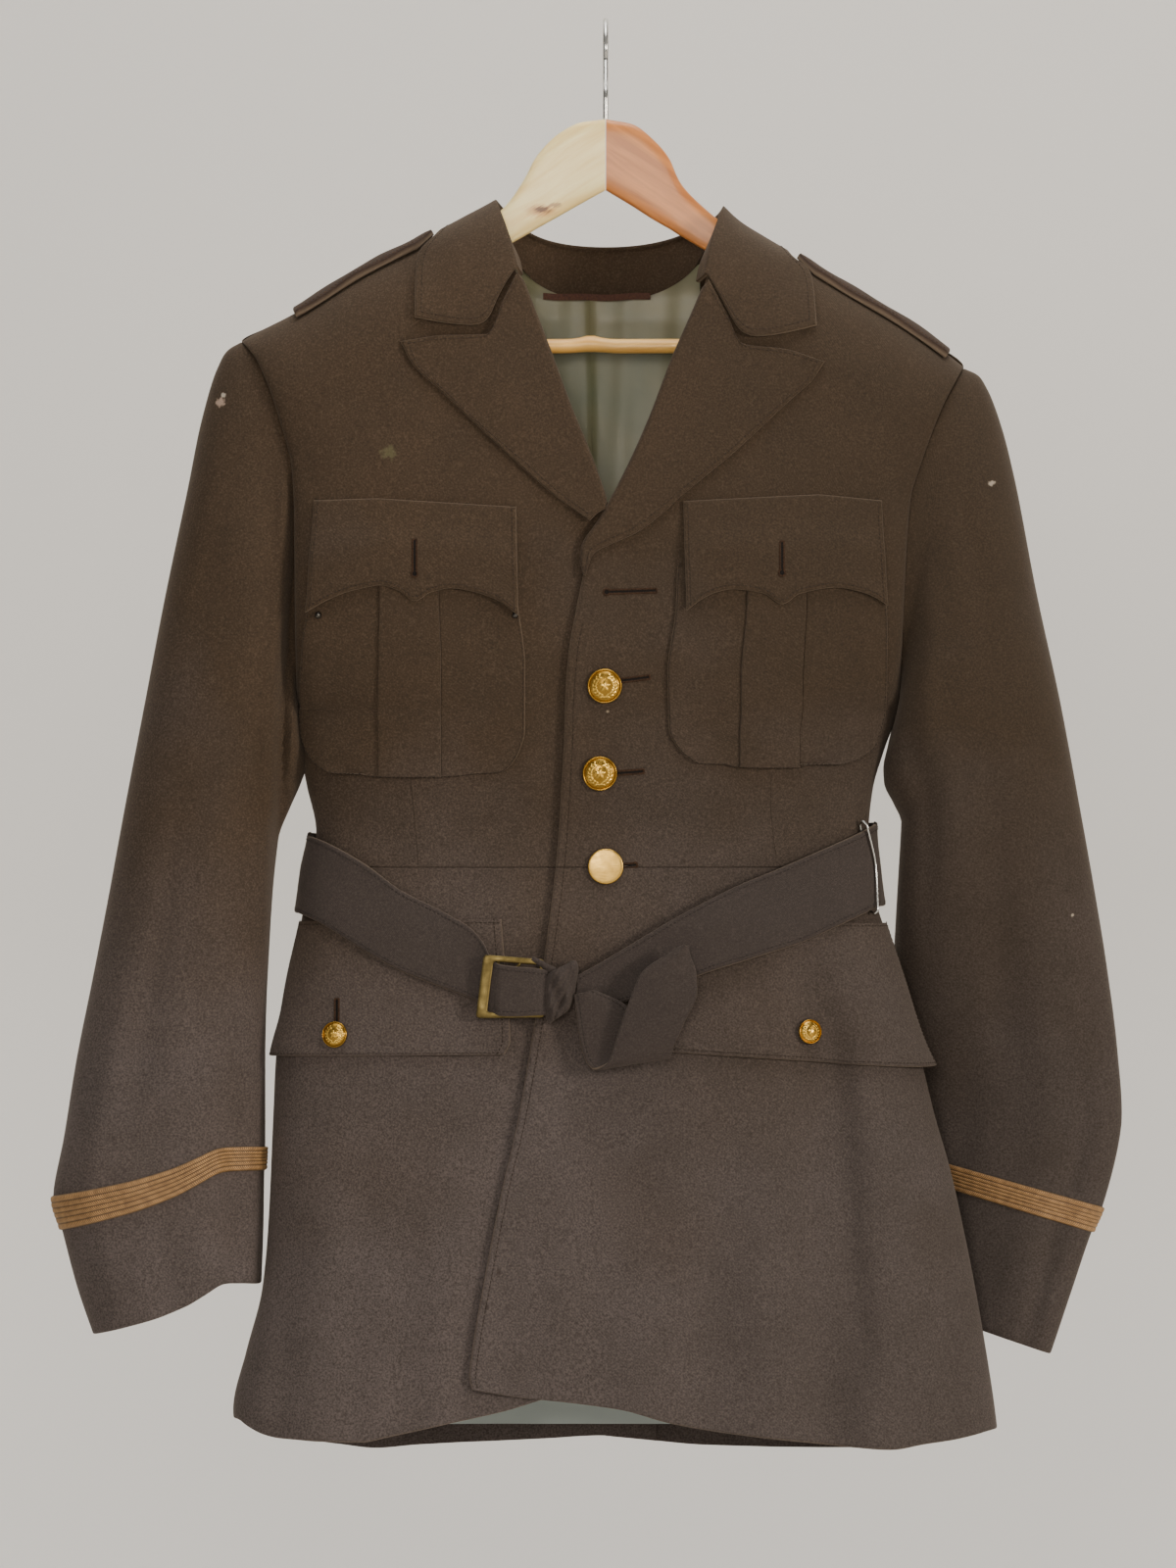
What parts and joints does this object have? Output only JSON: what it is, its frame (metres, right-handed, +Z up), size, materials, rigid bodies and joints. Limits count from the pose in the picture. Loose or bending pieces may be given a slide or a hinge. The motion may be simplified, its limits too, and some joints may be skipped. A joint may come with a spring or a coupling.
{
  "type": "officer coat on a coat hanger",
  "caption": "Single-breasted wool officer's service coat with pleated chest pockets, skirt flaps, cuff braid and a knotted cloth belt, hung on a wooden coat hanger.",
  "frame": {"origin": "the hang point, at the inside top of the hanger's hook", "axes": "+Z up, the coat's front towards -Y, +X towards the wearer's left side, on the right as one looks at the front"},
  "size_m": [0.6898, 0.1763, 0.9229],
  "materials": {
    "wool": "felted olive-drab wool",
    "belt_wool": "felted grey-brown wool",
    "loop_wool": "faded wool",
    "lining": "smooth satin lining",
    "mohair_braid": "ribbed mohair braid",
    "gilt": "gilt, polished",
    "plain_brass": "worn satin",
    "dull_brass": "tarnished",
    "steel_wire": "plated wire",
    "pale_wood": "varnished",
    "orange_wood": "varnished"
  },
  "bodies": {
    "root": {"front_left": "wool", "front_right": "wool", "back_left": "wool", "back_right": "wool", "sleeve_left": "wool", "sleeve_right": "wool", "collar": "wool", "lapel_left": "wool", "lapel_right": "wool", "chest_pocket_left": "wool", "chest_pocket_right": "wool", "chest_flap_left": "wool", "chest_flap_right": "wool", "skirt_flap_left": "wool", "skirt_flap_right": "wool", "shoulder_loop_left": "loop_wool", "shoulder_loop_right": "loop_wool", "lining_neck": "lining", "lining_hem": "lining", "belt_left": "belt_wool", "belt_right": "belt_wool", "belt_back": "belt_wool", "belt_knot": "belt_wool", "belt_tail": "belt_wool", "belt_buckle": "dull_brass", "belt_slide": "steel_wire", "button_top": "gilt", "button_middle": "gilt", "button_waist": "plain_brass", "flap_button_left": "gilt", "flap_button_right": "gilt", "cuff_braid_left": "mohair_braid", "cuff_braid_right": "mohair_braid", "hanger_arm_left": "orange_wood", "hanger_arm_right": "pale_wood", "hanger_bar": "pale_wood", "hanger_hook": "steel_wire"}
  },
  "joints": []
}
